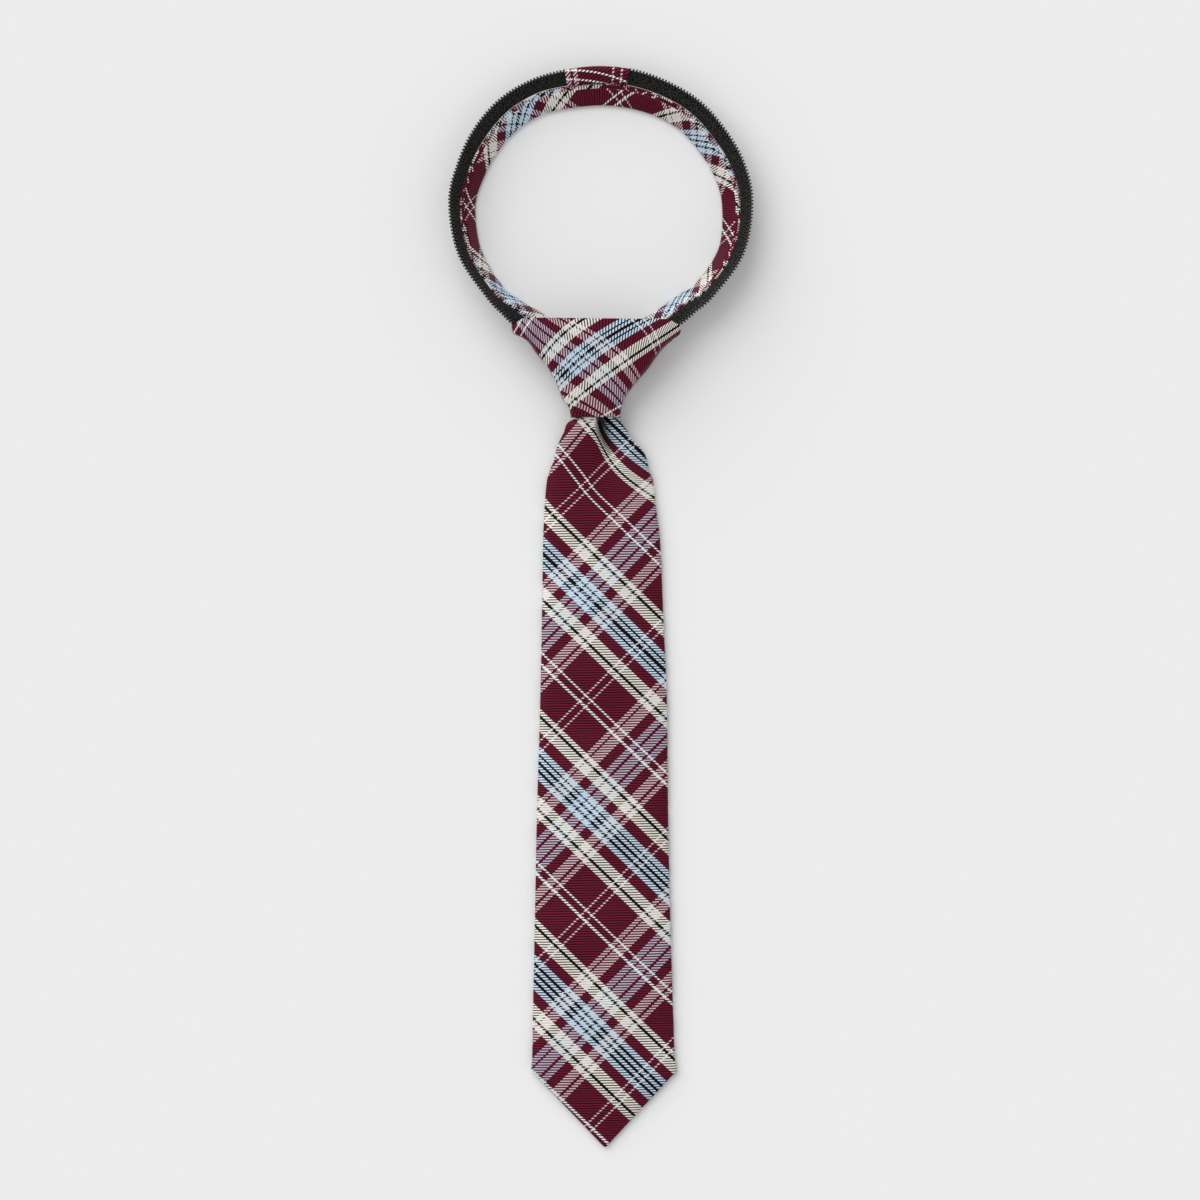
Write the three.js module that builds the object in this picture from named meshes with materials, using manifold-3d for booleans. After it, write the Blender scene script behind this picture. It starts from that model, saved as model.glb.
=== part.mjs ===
// A ready-tied necktie on a zip neck band, lying face up. Millimetres, +Z up, the point towards -Y.
import * as THREE from 'three';
import { mergeVertices } from 'three/addons/utils/BufferGeometryUtils.js';
import Module from 'manifold-3d';

const wasm = await Module();
wasm.setup();

// Blade
const bladeLength = 316.7;
const bladeWidth = 63.5;
const pointHeight = 33.1;
const pointDrift = 1.5;
const tipWidth = 1.2;
const tipShare = 0.25;
const bladeThickness = 4.6;
const neckInKnot = 9;
const dimpleDepth = 4.6;
const dimpleWidth = 5.2;
const dimpleLength = 24;
const dimpleDrift = { from: 0.5, to: 4.5 };
const dimpleFadeShares = { from: 0.2, to: 1.6 };
const leastThickShare = 0.3;
const grooveWidth = 2.4;
const grooveDepth = 0.7;

// Knot
const knotWidth = 72;
const knotHeight = 42.6;
const knotDepth = 20;
const knotWall = 2;
const knotOffset = -2;
const knotSquareness = { frontAcross: 0.35, frontBulge: 0.45, backAcross: 0.8, backBulge: 0.8, backFlat: 1.25 };

// Neck band: the cloth strap, and the zip tape sewn along its outer edge
const loopRadius = 61.2;
const loopOffset = -0.2;
const strapWidth = 10.4;
const strapThickness = 2.2;
const hemWidth = 2;
const hemThickness = 1.1;
const hemShare = 0.15;
const tapeWidth = 6.2;
const tapeThickness = 1;
const leastShowShare = 0.2;
const coilWidth = 1.5;
const coilThickness = 1.8;
const toothPitch = 1.47;
const toothDepth = 0.7;

// Tab folded over the ends of the zip at the back of the neck
const tabWidth = 26;
const tabWall = 1;
const tabOffset = -2.2;

// Slider in the knot, and the closed zip behind the blade
const sliderWidth = 9;
const sliderFoot = 6;
const sliderLength = 11;
const sliderThickness = 4.4;
const tailLength = 105;
const tailWidth = 14;
const tailThickness = 1.6;
const tailSettle = 13.8;

const clearance = 0.3;

// The blade's outline: down is a share of the length above the point, left and right of half the width,
// thick of the thickness, rise of the height at which the cloth leaves the knot
const bladeRows = [
  { down: 0.006, left: 0.440, right: 0.270, thick: 1.36, rise: 0.80 },
  { down: 0.012, left: 0.486, right: 0.295, thick: 1.42, rise: 0.70 },
  { down: 0.022, left: 0.514, right: 0.363, thick: 1.48, rise: 0.56 },
  { down: 0.031, left: 0.555, right: 0.404, thick: 1.50, rise: 0.43 },
  { down: 0.049, left: 0.623, right: 0.555, thick: 1.46, rise: 0.20 },
  { down: 0.064, left: 0.651, right: 0.623, thick: 1.40, rise: 0.08 },
  { down: 0.080, left: 0.706, right: 0.651, thick: 1.30, rise: 0.02 },
  { down: 0.095, left: 0.747, right: 0.706, thick: 1.20, rise: 0 },
  { down: 0.126, left: 0.774, right: 0.733, thick: 1.08, rise: 0 },
  { down: 0.187, left: 0.800, right: 0.800, thick: 1.00, rise: 0 },
  { down: 0.295, left: 0.815, right: 0.843, thick: 1.00, rise: 0 },
  { down: 0.448, left: 0.843, right: 0.897, thick: 1.00, rise: 0 },
  { down: 0.601, left: 0.884, right: 0.911, thick: 1.00, rise: 0 },
  { down: 0.755, left: 0.911, right: 0.939, thick: 1.00, rise: 0 },
  { down: 0.908, left: 0.939, right: 0.980, thick: 1.00, rise: 0 },
  { down: 0.985, left: 0.952, right: 1.007, thick: 0.98, rise: 0 },
  { down: 1.000, left: 0.966, right: 1.034, thick: 0.96, rise: 0 },
];

// The blade's section: across is a share of the half width, top and under of the thickness
const bladeColumns = [
  { across: 1.000, top: 0.42, under: 0.42 },
  { across: 0.985, top: 0.70, under: 0.14 },
  { across: 0.930, top: 0.86, under: 0 },
  { across: 0.800, top: 0.92, under: 0 },
  { across: 0.600, top: 0.96, under: 0 },
  { across: 0.440, top: 0.98, under: 0 },
  { across: 0.300, top: 0.99, under: 0 },
  { across: 0.200, top: 1.00, under: 0 },
  { across: 0.100, top: 1.00, under: 0 },
  { across: 0, top: 1.00, under: 0 },
];

// The knot's outline from its top edge: left and right are shares of half its width, deep of its depth
const knotRows = [
  { down: 0, left: 1.035, right: 1.027, deep: 1.00 },
  { down: 0.10, left: 1.010, right: 0.990, deep: 1.00 },
  { down: 0.20, left: 0.845, right: 0.890, deep: 0.98 },
  { down: 0.35, left: 0.722, right: 0.735, deep: 0.94 },
  { down: 0.50, left: 0.585, right: 0.610, deep: 0.88 },
  { down: 0.65, left: 0.485, right: 0.460, deep: 0.81 },
  { down: 0.80, left: 0.410, right: 0.330, deep: 0.74 },
  { down: 0.92, left: 0.320, right: 0.283, deep: 0.67 },
  { down: 1.00, left: 0.300, right: 0.270, deep: 0.62 },
];
const knotSides = 28;
const rimShare = 0.2;
const rimShares = { back: 0.7, front: 0.84 };

// The seam of strap and tape round the neck: turn in degrees from +X about the loop's centre, reach a
// share of the loop's radius, and how far strap and tape lean out of the level, in degrees
const loopRows = [
  { turn: 230, reach: 0.967, strapLean: 66, tapeLean: 42 },
  { turn: 220, reach: 0.989, strapLean: 65, tapeLean: 60 },
  { turn: 200, reach: 1.002, strapLean: 60, tapeLean: 56 },
  { turn: 180, reach: 0.998, strapLean: 54, tapeLean: 54 },
  { turn: 165, reach: 0.962, strapLean: 52, tapeLean: 46 },
  { turn: 150, reach: 0.938, strapLean: 48, tapeLean: 37 },
  { turn: 135, reach: 0.924, strapLean: 42, tapeLean: 36 },
  { turn: 120, reach: 0.900, strapLean: 35, tapeLean: 38 },
  { turn: 105, reach: 0.864, strapLean: 31, tapeLean: 28 },
  { turn: 90, reach: 0.853, strapLean: 31, tapeLean: 18 },
  { turn: 75, reach: 0.858, strapLean: 33, tapeLean: 24 },
  { turn: 60, reach: 0.872, strapLean: 39, tapeLean: 31 },
  { turn: 45, reach: 0.898, strapLean: 43, tapeLean: 33 },
  { turn: 30, reach: 0.918, strapLean: 44, tapeLean: 36 },
  { turn: 15, reach: 0.957, strapLean: 43, tapeLean: 42 },
  { turn: 0, reach: 0.985, strapLean: 44, tapeLean: 48 },
  { turn: -20, reach: 0.998, strapLean: 53, tapeLean: 56 },
  { turn: -40, reach: 0.967, strapLean: 60, tapeLean: 58 },
  { turn: -50, reach: 0.931, strapLean: 62, tapeLean: 42 },
];
const loopShare = 0.8186;

// The hidden stretch in the knot, the same on both sides: across is a share of half the knot's width,
// up of its height, show of the tape's width that isn't folded under, lift of the knot's back wall
const hiddenRows = [
  { across: 0.830, up: 1.000, strapLean: 60, tapeLean: 26, show: 0.80, lift: 0.2 },
  { across: 0.640, up: 0.860, strapLean: 50, tapeLean: 36, show: 0.35, lift: 1 },
  { across: 0.440, up: 0.700, strapLean: 42, tapeLean: 40, show: 0.25, lift: 1 },
  { across: 0.260, up: 0.540, strapLean: 36, tapeLean: 40, show: 0.25, lift: 1 },
];

const up = new THREE.Vector3(0, 0, 1);

// A closed solid through a row of rings, each ring a loop of as many points
function loft(rings, cap) {
  const positions = rings.flat().flatMap((point) => [point.x, point.y, point.z]);
  const size = rings[0].length;
  const faces = [];
  for (let ring = 0; ring < rings.length - 1; ring += 1) {
    for (let side = 0; side < size; side += 1) {
      const a = ring * size + side;
      const b = ring * size + (side + 1) % size;
      faces.push([a, b, b + size], [a, b + size, a + size]);
    }
  }
  const last = (rings.length - 1) * size;
  for (const corners of THREE.ShapeUtils.triangulateShape(cap, [])) {
    const turned = THREE.ShapeUtils.area(corners.map((corner) => cap[corner])) * THREE.ShapeUtils.area(cap) < 0;
    const [a, b, c] = turned ? [...corners].reverse() : corners;
    faces.push([c, b, a], [a + last, b + last, c + last]);
  }
  return solid(positions, faces);
}

// A geometry from points and triangles, turned so that its faces point outwards
function solid(positions, faces) {
  let volume = 0;
  const corner = (index) => new THREE.Vector3().fromArray(positions, index * 3);
  for (const [a, b, c] of faces) {
    volume += corner(a).dot(corner(b).cross(corner(c)));
  }
  const turned = volume < 0 ? faces.map(([a, b, c]) => [a, c, b]) : faces;
  const geometry = new THREE.BufferGeometry();
  geometry.setAttribute('position', new THREE.Float32BufferAttribute(positions, 3));
  geometry.setIndex(turned.flat());
  geometry.computeVertexNormals();
  return geometry;
}

function toManifold(geometry) {
  const bare = geometry.clone();
  bare.deleteAttribute('normal');
  const merged = mergeVertices(bare);
  return new wasm.Manifold(new wasm.Mesh({
    numProp: 3,
    vertProperties: new Float32Array(merged.attributes.position.array),
    triVerts: new Uint32Array(merged.index.array),
  }));
}

function fromManifold(shape) {
  const mesh = shape.getMesh();
  const geometry = new THREE.BufferGeometry();
  geometry.setAttribute('position', new THREE.BufferAttribute(mesh.vertProperties, 3));
  geometry.setIndex(new THREE.BufferAttribute(mesh.triVerts, 1));
  geometry.computeVertexNormals();
  return geometry;
}

function subtract(geometry, cutters) {
  return fromManifold(cutters.reduce((rest, cutter) => rest.subtract(toManifold(cutter)), toManifold(geometry)));
}

// A column of a table at a value of its first column, in straight steps
function lookUp(rows, key, column, value) {
  const next = rows.findIndex((row) => row[key] >= value);
  if (next < 0) return rows[rows.length - 1][column];
  if (next === 0) return rows[0][column];
  const before = rows[next - 1];
  const share = (value - before[key]) / (rows[next][key] - before[key]);
  return THREE.MathUtils.lerp(before[column], rows[next][column], share);
}

// Knot: x, y, z of a point on its outer or inner face, down from 0 at the rim to 1 at the bottom
function knotPoint(down, angle, inset) {
  const cosine = Math.cos(angle);
  const sine = Math.sin(angle);
  const { frontAcross, frontBulge, backAcross, backBulge, backFlat } = knotSquareness;
  const across = Math.sign(cosine) * Math.abs(cosine) ** (sine > 0 ? frontAcross : backAcross);
  const bulge = sine > 0 ? sine ** frontBulge : Math.max(-1, -backFlat * Math.abs(sine) ** backBulge);
  const height = 0.5 + 0.5 * bulge;
  const rim = rimShare * (1 - THREE.MathUtils.smoothstep(height, rimShares.back, rimShares.front));
  const level = rim + (1 - rim) * down;
  const half = lookUp(knotRows, 'down', across < 0 ? 'left' : 'right', level) * knotWidth / 2 - inset;
  const depth = lookUp(knotRows, 'down', 'deep', level) * knotDepth - 2 * inset;
  return new THREE.Vector3(knotOffset + half * across, knotHeight * (1 - level), inset + depth * height);
}

function makeKnot() {
  const ring = (down, inset) => Array.from({ length: knotSides }, (_, side) => (
    knotPoint(down, 2 * Math.PI * side / knotSides, inset)));
  const outer = knotRows.map((row) => ring(row.down, 0));
  const inner = knotRows.map((row) => ring(row.down, knotWall)).reverse();
  const rings = [...outer, ...inner];
  const positions = rings.flat().flatMap((point) => [point.x, point.y, point.z]);
  const faces = [];
  for (let row = 0; row < rings.length; row += 1) {
    const next = (row + 1) % rings.length;
    for (let side = 0; side < knotSides; side += 1) {
      const beside = (side + 1) % knotSides;
      const a = row * knotSides + side;
      const b = row * knotSides + beside;
      const c = next * knotSides + beside;
      const d = next * knotSides + side;
      faces.push([a, b, c], [a, c, d]);
    }
  }
  return solid(positions, faces);
}

// Blade
const bodyLength = bladeLength - pointHeight;
const knotBottom = knotRows[knotRows.length - 1];
const insideKnot = knotWall + clearance;
const neckBase = insideKnot + tailThickness + clearance;
const neckTop = knotBottom.deep * knotDepth - insideKnot;
const neckLeft = knotOffset - knotBottom.left * knotWidth / 2 + insideKnot;
const neckRight = knotOffset + knotBottom.right * knotWidth / 2 - insideKnot;

// The hollow that the knot presses into the cloth below it
function dimple(x, y) {
  const along = -y / dimpleLength;
  const centre = THREE.MathUtils.lerp(dimpleDrift.from, dimpleDrift.to, THREE.MathUtils.clamp(along, 0, 1));
  const fade = 1 - THREE.MathUtils.smoothstep(along, dimpleFadeShares.from, dimpleFadeShares.to);
  return dimpleDepth * fade * Math.exp(-(((x - centre) / dimpleWidth) ** 2));
}

// One ring of the blade; round is 1 for the oval neck and 0 for the flat folded cloth
function bladeRing({ y, left, right, base, thickness, round }) {
  const oval = (across) => 0.5 * Math.sqrt(1 - across * across);
  const columns = [...bladeColumns, ...bladeColumns.slice(0, -1).reverse().map((column) => (
    { ...column, across: -column.across }))];
  const place = (across, share) => new THREE.Vector3(
    across < 0 ? THREE.MathUtils.lerp((left + right) / 2, left, -across)
      : THREE.MathUtils.lerp((left + right) / 2, right, across),
    y,
    base + thickness * share,
  );
  const top = columns.map(({ across, top: share }) => (
    place(across, THREE.MathUtils.lerp(share, 0.5 + oval(across), round))));
  const under = columns.slice(1, -1).reverse().map(({ across, under: share }) => (
    place(across, THREE.MathUtils.lerp(share, 0.5 - oval(across), round))));
  for (const point of top.slice(1, -1)) {
    if (round < 1) point.z = Math.max(base + leastThickShare * thickness, point.z - dimple(point.x, point.y));
  }
  return [...top, ...under];
}

function makeBlade(cutters) {
  const neck = [neckInKnot, -clearance].map((y) => ({
    y, left: neckLeft, right: neckRight, base: neckBase, thickness: neckTop - neckBase, round: 1,
  }));
  const body = bladeRows.map((row) => ({
    y: -row.down * bodyLength,
    left: -row.left * bladeWidth / 2,
    right: row.right * bladeWidth / 2,
    base: row.rise * neckBase,
    thickness: row.thick * bladeThickness,
    round: row.rise,
  }));
  const corner = body[body.length - 1];
  const point = [0.33, 0.66, 1].map((share) => ({
    ...corner,
    y: THREE.MathUtils.lerp(-bodyLength, -bladeLength, share),
    left: THREE.MathUtils.lerp(corner.left, pointDrift - tipWidth / 2, share),
    right: THREE.MathUtils.lerp(corner.right, pointDrift + tipWidth / 2, share),
    thickness: corner.thickness * (1 - tipShare * share),
  }));
  const rings = [...neck, ...body, ...point].map(bladeRing);
  const cap = rings[0].map((place) => new THREE.Vector2(place.x, place.z));
  return subtract(loft(rings, cap), cutters);
}

// Closed zip behind the blade, grown by a margin where it is cut out of the blade
function makeTail(margin) {
  const stations = [
    { y: neckInKnot, z: insideKnot, width: sliderFoot },
    { y: -clearance, z: insideKnot, width: (sliderFoot + tailWidth) / 2 },
    { y: -tailSettle, z: 0, width: tailWidth },
    { y: -tailLength, z: 0, width: tailWidth },
  ];
  const rings = stations.map(({ y, z, width }, index) => {
    const end = index === 0 ? margin : -margin;
    const along = index === 0 || index === stations.length - 1 ? y + end : y;
    const low = z - margin;
    const high = z + tailThickness + margin;
    const half = width / 2 + margin;
    return [[-half, low], [half, low], [half, high], [-half, high]].map(([x, level]) => (
      new THREE.Vector3(knotOffset + x, along, level)));
  });
  return loft(rings, rings[0].map((place) => new THREE.Vector2(place.x, place.z)));
}

// The seam where the folded edges of the cloth meet at the back
function makeGroove() {
  const ring = (y) => [
    new THREE.Vector3(-grooveWidth / 2, y, -grooveDepth),
    new THREE.Vector3(grooveWidth / 2, y, -grooveDepth),
    new THREE.Vector3(0, y, grooveDepth),
  ];
  const rings = [ring(-tailLength - clearance), ring(-bodyLength)];
  return loft(rings, rings[0].map((place) => new THREE.Vector2(place.x, place.z)));
}

// Slider: a wedge that narrows to the closed zip below it
function makeSlider() {
  const outline = new THREE.Shape();
  const foot = neckInKnot + clearance;
  outline.moveTo(-sliderFoot / 2, foot);
  outline.lineTo(sliderFoot / 2, foot);
  outline.lineTo(sliderWidth / 2, foot + sliderLength / 2);
  outline.lineTo(sliderWidth / 2, foot + sliderLength);
  outline.lineTo(-sliderWidth / 2, foot + sliderLength);
  outline.lineTo(-sliderWidth / 2, foot + sliderLength / 2);
  return new THREE.ExtrudeGeometry(outline, { depth: sliderThickness, bevelEnabled: false });
}

// Neck band: its rows as places in the plan, from the left end in the knot to the right one
const loopCentre = new THREE.Vector2(loopOffset, knotHeight + loopShare * loopRadius);

function hiddenRow(row, side) {
  return { ...row, x: knotOffset + side * row.across * knotWidth / 2, y: row.up * knotHeight };
}

const bandRows = [
  ...hiddenRows.map((row) => hiddenRow(row, -1)).reverse(),
  ...loopRows.map((row) => ({
    ...row,
    x: loopCentre.x + row.reach * loopRadius * Math.cos(THREE.MathUtils.degToRad(row.turn)),
    y: loopCentre.y + row.reach * loopRadius * Math.sin(THREE.MathUtils.degToRad(row.turn)),
    show: 1,
    lift: 0,
  })),
  ...hiddenRows.map((row) => hiddenRow(row, 1)),
];

// The band's seam as a curve; a value between rows is taken from the four rows round it
class BandRoute extends THREE.Curve {
  value(column, t) {
    const place = t * (bandRows.length - 1);
    const index = Math.min(Math.floor(place), bandRows.length - 2);
    const at = (step) => bandRows[THREE.MathUtils.clamp(index + step, 0, bandRows.length - 1)][column];
    const [p0, p1, p2, p3] = [at(-1), at(0), at(1), at(2)];
    const s = place - index;
    return 0.5 * (2 * p1 + (p2 - p0) * s + (2 * p0 - 5 * p1 + 4 * p2 - p3) * s * s
      + (3 * p1 - p0 - 3 * p2 + p3) * s * s * s);
  }

  // Where the seam is, and which way strap and tape run from it
  frame(t) {
    const plan = new THREE.Vector3(this.value('x', t), this.value('y', t), 0);
    const step = 0.001;
    const before = Math.max(t - step, 0);
    const after = Math.min(t + step, 1);
    const along = new THREE.Vector3(
      this.value('x', after) - this.value('x', before),
      this.value('y', after) - this.value('y', before),
      0,
    ).normalize();
    const outward = new THREE.Vector3(-along.y, along.x, 0);
    const strapLean = THREE.MathUtils.degToRad(this.value('strapLean', t));
    const tapeLean = THREE.MathUtils.degToRad(this.value('tapeLean', t));
    const mix = (a, b) => outward.clone().multiplyScalar(a).addScaledVector(up, b);
    const edge = strapThickness / 2 * Math.cos(strapLean) - strapThickness / 3 * Math.sin(strapLean);
    const rest = strapWidth * Math.sin(strapLean) + Math.max(edge, strapThickness / 6 * Math.cos(strapLean));
    const lift = Math.max(0, this.value('lift', t)) * insideKnot;
    return {
      seam: plan.addScaledVector(up, lift + rest),
      strap: mix(-Math.cos(strapLean), -Math.sin(strapLean)),
      strapFace: mix(-Math.sin(strapLean), Math.cos(strapLean)),
      tape: mix(Math.cos(tapeLean), Math.sin(tapeLean)),
      tapeFace: mix(-Math.sin(tapeLean), Math.cos(tapeLean)),
      tapeStart: clearance + hemThickness / 2 * Math.abs(Math.sin(strapLean - tapeLean)),
      tapeEnd: tapeWidth * Math.max(leastShowShare, Math.min(1, this.value('show', t))),
    };
  }

  getPoint(t) {
    return this.frame(t).seam;
  }
}

const band = new BandRoute();
band.arcLengthDivisions = 600;
const bandLength = band.getLength();

// The t at which the seam has run a length from the left end
function bandAt(length) {
  return band.getUtoTmapping(0, length);
}

const tabCentre = bandLength / 2 + tabOffset;
const strapSteps = 64;
const tapeSteps = 34;
const tabSteps = 6;

// The strap's section: in is the distance from the seam, out the height over its middle
const strapSection = [
  [0, hemThickness / 2], [hemWidth * (1 - hemShare), hemThickness / 2],
  [hemWidth * (1 + hemShare), strapThickness / 2],
  [strapWidth - strapThickness / 3, strapThickness / 2], [strapWidth, strapThickness / 6],
  [strapWidth, -strapThickness / 6], [strapWidth - strapThickness / 3, -strapThickness / 2],
  [hemWidth * (1 + hemShare), -strapThickness / 2], [0, -hemThickness / 2],
];

function makeStrap() {
  const rings = [];
  for (let step = 0; step <= strapSteps; step += 1) {
    const { seam, strap, strapFace } = band.frame(bandAt(bandLength * step / strapSteps));
    rings.push(strapSection.map(([inward, out]) => (
      seam.clone().addScaledVector(strap, inward).addScaledVector(strapFace, out))));
  }
  return loft(rings, strapSection.map(([inward, out]) => new THREE.Vector2(inward, out)));
}

// A strip along the tape's side of the band, from one length to another
function alongTape(from, to, steps, section) {
  const rings = [];
  for (let step = 0; step <= steps; step += 1) {
    const place = band.frame(bandAt(THREE.MathUtils.lerp(from, to, step / steps)));
    rings.push(section(place, step).map(([outward, out]) => (
      place.seam.clone().addScaledVector(place.tape, outward).addScaledVector(place.tapeFace, out))));
  }
  const cap = section(band.frame(bandAt(from)), 0).map(([outward, out]) => new THREE.Vector2(outward, out));
  return loft(rings, cap);
}

const tapeEnds = {
  left: [0, tabCentre - clearance / 2],
  right: [tabCentre + clearance / 2, bandLength],
};

function makeTape(side) {
  return alongTape(...tapeEnds[side], tapeSteps, ({ tapeStart, tapeEnd }) => [
    [tapeStart, tapeThickness / 2], [tapeStart, -tapeThickness / 2],
    [tapeEnd, -tapeThickness / 2], [tapeEnd, tapeThickness / 2],
  ]);
}

// A rack of teeth: every second ring stands in the gap between two teeth
function makeCoil(side) {
  const underTab = tabWidth / 2 + clearance;
  const from = side === 'left' ? 0 : tabCentre + underTab;
  const to = side === 'left' ? tabCentre - underTab : bandLength;
  const teeth = Math.round((to - from) / toothPitch);
  return alongTape(from, to, 2 * teeth, ({ tapeEnd }, step) => {
    const inner = tapeEnd + clearance;
    const outer = inner + coilWidth - (step % 2 === 0 ? toothDepth : 0);
    const half = coilThickness / 2;
    return [[inner, half], [inner, -half], [outer, -half], [outer, half]];
  });
}

// The tab wraps the ends of the two tapes from above, round their outer edge and below
function makeTab() {
  return alongTape(tabCentre - tabWidth / 2, tabCentre + tabWidth / 2, tabSteps, ({ tapeStart }) => {
    const inner = tapeThickness / 2 + clearance;
    const outer = inner + tabWall;
    const end = tapeWidth + clearance;
    return [
      [tapeStart, outer], [tapeStart, inner], [end, inner], [end, -inner], [tapeStart, -inner],
      [tapeStart, -outer], [end + tabWall, -outer], [end + tabWall, outer],
    ];
  });
}

const cloth = new THREE.MeshStandardMaterial({ color: 0x5c0f26, roughness: 0.72, metalness: 0 });
const bandCloth = new THREE.MeshStandardMaterial({ color: 0x4d0a1f, roughness: 0.72, metalness: 0 });
const tapeCloth = new THREE.MeshStandardMaterial({ color: 0x17181b, roughness: 0.85, metalness: 0 });
const coilPlastic = new THREE.MeshStandardMaterial({ color: 0x101114, roughness: 0.45, metalness: 0 });
const sliderMetal = new THREE.MeshStandardMaterial({ color: 0x6d6f73, roughness: 0.4, metalness: 0.9 });

function piece(name, geometry, material) {
  const mesh = new THREE.Mesh(geometry, material);
  mesh.name = name;
  return mesh;
}

const tie = new THREE.Group();
tie.add(piece('blade', makeBlade([makeTail(clearance), makeGroove()]), cloth));
tie.add(piece('knot', makeKnot(), cloth));
tie.add(piece('neck_strap', makeStrap(), bandCloth));
tie.add(piece('left_tape', makeTape('left'), tapeCloth));
tie.add(piece('right_tape', makeTape('right'), tapeCloth));
tie.add(piece('left_coil', makeCoil('left'), coilPlastic));
tie.add(piece('right_coil', makeCoil('right'), coilPlastic));
tie.add(piece('back_tab', makeTab(), bandCloth));
tie.add(piece('zip_tail', makeTail(0), tapeCloth));

const slider = piece('zip_slider', makeSlider(), sliderMetal);
slider.position.set(knotOffset, 0, insideKnot);
tie.add(slider);

// The origin is the middle of the tie's footprint, on the surface it lies on
const extent = new THREE.Box3().setFromObject(tie);
const middle = extent.getCenter(new THREE.Vector3());
tie.position.set(-middle.x, -middle.y, -extent.min.z);
const group = new THREE.Group();
group.add(tie);

export default group;
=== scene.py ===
import math
import bpy
import numpy as np
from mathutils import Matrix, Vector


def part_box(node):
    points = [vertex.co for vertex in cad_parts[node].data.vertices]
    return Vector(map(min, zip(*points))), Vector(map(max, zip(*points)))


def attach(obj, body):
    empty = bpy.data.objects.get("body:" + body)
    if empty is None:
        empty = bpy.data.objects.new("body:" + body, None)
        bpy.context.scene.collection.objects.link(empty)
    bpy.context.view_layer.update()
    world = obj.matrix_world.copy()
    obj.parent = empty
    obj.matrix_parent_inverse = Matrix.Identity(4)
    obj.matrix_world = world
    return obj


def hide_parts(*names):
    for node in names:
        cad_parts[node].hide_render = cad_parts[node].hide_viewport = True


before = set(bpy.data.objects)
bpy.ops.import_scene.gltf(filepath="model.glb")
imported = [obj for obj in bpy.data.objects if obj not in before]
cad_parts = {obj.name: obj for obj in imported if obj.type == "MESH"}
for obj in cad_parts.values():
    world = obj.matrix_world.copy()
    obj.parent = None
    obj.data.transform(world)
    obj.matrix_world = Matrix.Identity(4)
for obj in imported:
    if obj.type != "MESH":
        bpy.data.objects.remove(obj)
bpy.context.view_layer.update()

mm = 0.001  # the tables below are in millimetres, the meshes in metres

# The tie lies face up, its point towards -Y. Its tables are measured from the bottom of the knot.
knotSize = {"width": 72, "height": 42.6, "depth": 20, "wall": 2, "offset": -2, "rimDrop": 0.2, "puff": 0.5,
            "rimSag": 0.9, "cornerSag": 3}
bladeSize = {"length": 316.7, "width": 63.5, "pointHeight": 33.1, "pointDrift": 1.5, "tipWidth": 1.2,
             "thickness": 4.6, "neckInKnot": 9, "rows": 330, "columns": 52}
bandSize = {"loopRadius": 61.2, "loopOffset": -0.2, "loopDrop": 0.8186, "strapWidth": 10.4,
            "strapThickness": 2.2, "hemWidth": 2, "hemThickness": 1.1, "tapeWidth": 6.2,
            "tapeThickness": 1, "coilWidth": 1.5, "tabWidth": 26, "tabWall": 1, "tabOffset": -2.2,
            "clearance": 0.3, "strapRings": 420, "tapeRings": 400, "tabRings": 60, "leastShow": 0.2,
            "underTeeth": 0.75, "finePlaces": 4001, "nudge": 0.001}
tailSize = {"length": 105, "width": 14, "thickness": 1.6, "sliderWidth": 9, "settle": 6,
            "slopeRings": 30, "flatRings": 120}

# The blade's outline: down is a share of the length above the point, left and right of half the width,
# thick of the thickness, rise of the height at which the cloth leaves the knot
bladeRows = {
    "down": [0.006, 0.012, 0.022, 0.031, 0.049, 0.064, 0.080, 0.095, 0.126, 0.187, 0.295, 0.448, 0.601,
             0.755, 0.908, 0.985, 1.0],
    "left": [0.440, 0.486, 0.514, 0.555, 0.623, 0.651, 0.706, 0.747, 0.774, 0.800, 0.815, 0.843, 0.884,
             0.911, 0.939, 0.952, 0.966],
    "right": [0.270, 0.295, 0.363, 0.404, 0.555, 0.623, 0.651, 0.706, 0.733, 0.800, 0.843, 0.897, 0.911,
              0.939, 0.980, 1.007, 1.034],
    "thick": [1.36, 1.42, 1.48, 1.50, 1.46, 1.40, 1.30, 1.20, 1.08, 1.0, 1.0, 1.0, 1.0, 1.0, 1.0, 0.98, 0.96],
    "rise": [0.80, 0.70, 0.56, 0.43, 0.20, 0.08, 0.02, 0, 0, 0, 0, 0, 0, 0, 0, 0, 0],
}

# The knot's outline from its top edge: left and right are shares of half its width, deep of its depth
knotRows = {
    "down": [0, 0.10, 0.20, 0.35, 0.50, 0.65, 0.80, 0.92, 1.0],
    "left": [1.035, 1.010, 0.845, 0.722, 0.585, 0.485, 0.410, 0.320, 0.300],
    "right": [1.027, 0.990, 0.890, 0.735, 0.610, 0.460, 0.330, 0.283, 0.270],
    "deep": [1.0, 1.0, 0.98, 0.94, 0.88, 0.81, 0.74, 0.67, 0.62],
}

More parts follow.
